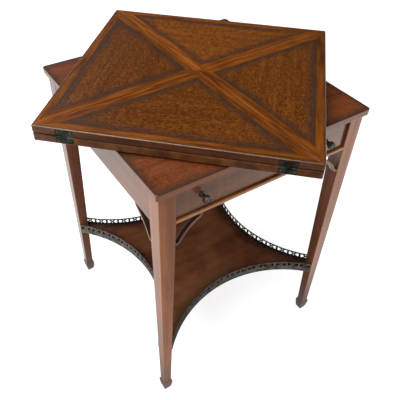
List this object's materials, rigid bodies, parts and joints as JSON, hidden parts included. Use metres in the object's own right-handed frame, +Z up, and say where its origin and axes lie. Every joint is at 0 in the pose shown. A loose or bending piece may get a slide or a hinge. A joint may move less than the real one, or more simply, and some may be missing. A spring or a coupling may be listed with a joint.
{
  "type": "games table",
  "caption": "Square wooden games table with a swivelling top of four triangular fold-out leaves, a drawer, tapering legs and a shelf with pierced galleries.",
  "frame": {"origin": "on the floor, under the middle of the frame", "axes": "+Z is up, out of the top; the drawer opens towards -Y; +X is to the right seen from the drawer"},
  "size_m": [0.7362, 0.7362, 0.7363],
  "materials": {
    "frame_mahogany": "polished mahogany",
    "shelf_mahogany": "dark polished mahogany",
    "top_mahogany": "polished mahogany",
    "leaf_veneer": "polished figured mahogany",
    "crossbanding": "polished light mahogany",
    "drawer_front_mahogany": "glossy polish",
    "drawer_oak": "bare oak",
    "carcase_wood": "bare softwood",
    "baize": "felted wool",
    "swivel_felt": "hard felt",
    "gallery_brass": "dark patina",
    "hinge_brass": "dark patina",
    "knob_bronze": "dark bronze",
    "bolt_steel": "plain steel"
  },
  "bodies": {
    "frame": {"leg_front_left": "frame_mahogany", "leg_front_right": "frame_mahogany", "leg_back_right": "frame_mahogany", "leg_back_left": "frame_mahogany", "apron_right": "frame_mahogany", "apron_back": "frame_mahogany", "apron_left": "frame_mahogany", "drawer_rail": "frame_mahogany", "frame_top": "frame_mahogany", "glue_blocks": "carcase_wood", "drawer_runner_left": "carcase_wood", "drawer_runner_right": "carcase_wood", "bracket_front_at_left": "frame_mahogany", "bracket_front_at_right": "frame_mahogany", "bracket_right_at_front": "frame_mahogany", "bracket_right_at_back": "frame_mahogany", "bracket_back_at_right": "frame_mahogany", "bracket_back_at_left": "frame_mahogany", "bracket_left_at_back": "frame_mahogany", "bracket_left_at_front": "frame_mahogany", "undertier": "shelf_mahogany", "gallery_front": "gallery_brass", "gallery_right": "gallery_brass", "gallery_back": "gallery_brass", "gallery_left": "gallery_brass", "swivel_disc": "swivel_felt"},
    "top": {"bed": "top_mahogany", "bed_baize": "baize", "bed_hinge_plates": "hinge_brass", "pivot_bolt": "bolt_steel", "pivot_washer": "bolt_steel", "pivot_nut": "bolt_steel"},
    "drawer": {"drawer_front": "drawer_front_mahogany", "drawer_side_left": "drawer_oak", "drawer_side_right": "drawer_oak", "drawer_back": "drawer_oak", "drawer_bottom": "drawer_oak", "knob_left": "knob_bronze", "knob_right": "knob_bronze"},
    "leaf_front_right": {"leaf_front_right": "leaf_veneer", "banding_front_right": "crossbanding", "baize_front_right": "baize", "hinge_plates_front_right": "hinge_brass"},
    "links_front_right": {"hinge_links_front_right": "hinge_brass"},
    "leaf_back_right": {"leaf_back_right": "leaf_veneer", "banding_back_right": "crossbanding", "baize_back_right": "baize", "hinge_plates_back_right": "hinge_brass"},
    "links_back_right": {"hinge_links_back_right": "hinge_brass"},
    "leaf_back_left": {"leaf_back_left": "leaf_veneer", "banding_back_left": "crossbanding", "baize_back_left": "baize", "hinge_plates_back_left": "hinge_brass"},
    "links_back_left": {"hinge_links_back_left": "hinge_brass"},
    "leaf_front_left": {"leaf_front_left": "leaf_veneer", "banding_front_left": "crossbanding", "baize_front_left": "baize", "hinge_plates_front_left": "hinge_brass"},
    "links_front_left": {"hinge_links_front_left": "hinge_brass"}
  },
  "joints": [
    {"name": "top_swivel", "type": "hinge", "parent": "frame", "child": "top", "pos_m": [0, 0, 0.7035], "axis": [0, 0, 1], "continuous": true},
    {"name": "drawer_slide", "type": "slide", "parent": "frame", "child": "drawer", "axis": [0, -1, 0], "range_m": [0, 0.3]},
    {"name": "links_front_right_turn", "type": "hinge", "parent": "top", "child": "links_front_right", "pos_m": [0.18617, -0.17978, 0.717], "axis": [0.6947, 0.7193, 0], "range_deg": [0, 90]},
    {"name": "leaf_front_right_turn", "type": "hinge", "parent": "links_front_right", "child": "leaf_front_right", "pos_m": [0.18617, -0.17978, 0.7228], "axis": [0.6947, 0.7193, 0], "range_deg": [0, 90]},
    {"name": "links_back_right_turn", "type": "hinge", "parent": "top", "child": "links_back_right", "pos_m": [0.17978, 0.18617, 0.717], "axis": [-0.7193, 0.6947, 0], "range_deg": [0, 90]},
    {"name": "leaf_back_right_turn", "type": "hinge", "parent": "links_back_right", "child": "leaf_back_right", "pos_m": [0.17978, 0.18617, 0.7228], "axis": [-0.7193, 0.6947, 0], "range_deg": [0, 90]},
    {"name": "links_back_left_turn", "type": "hinge", "parent": "top", "child": "links_back_left", "pos_m": [-0.18617, 0.17978, 0.717], "axis": [-0.6947, -0.7193, 0], "range_deg": [0, 90]},
    {"name": "leaf_back_left_turn", "type": "hinge", "parent": "links_back_left", "child": "leaf_back_left", "pos_m": [-0.18617, 0.17978, 0.7228], "axis": [-0.6947, -0.7193, 0], "range_deg": [0, 90]},
    {"name": "links_front_left_turn", "type": "hinge", "parent": "top", "child": "links_front_left", "pos_m": [-0.17978, -0.18617, 0.717], "axis": [0.7193, -0.6947, 0], "range_deg": [0, 90]},
    {"name": "leaf_front_left_turn", "type": "hinge", "parent": "links_front_left", "child": "leaf_front_left", "pos_m": [-0.17978, -0.18617, 0.7228], "axis": [0.7193, -0.6947, 0], "range_deg": [0, 90]}
  ],
  "couplings": [
    {"joint": "links_front_right_turn", "follows": "leaf_front_right_turn", "ratio": 1},
    {"joint": "links_back_right_turn", "follows": "leaf_back_right_turn", "ratio": 1},
    {"joint": "links_back_left_turn", "follows": "leaf_back_left_turn", "ratio": 1},
    {"joint": "links_front_left_turn", "follows": "leaf_front_left_turn", "ratio": 1}
  ]
}
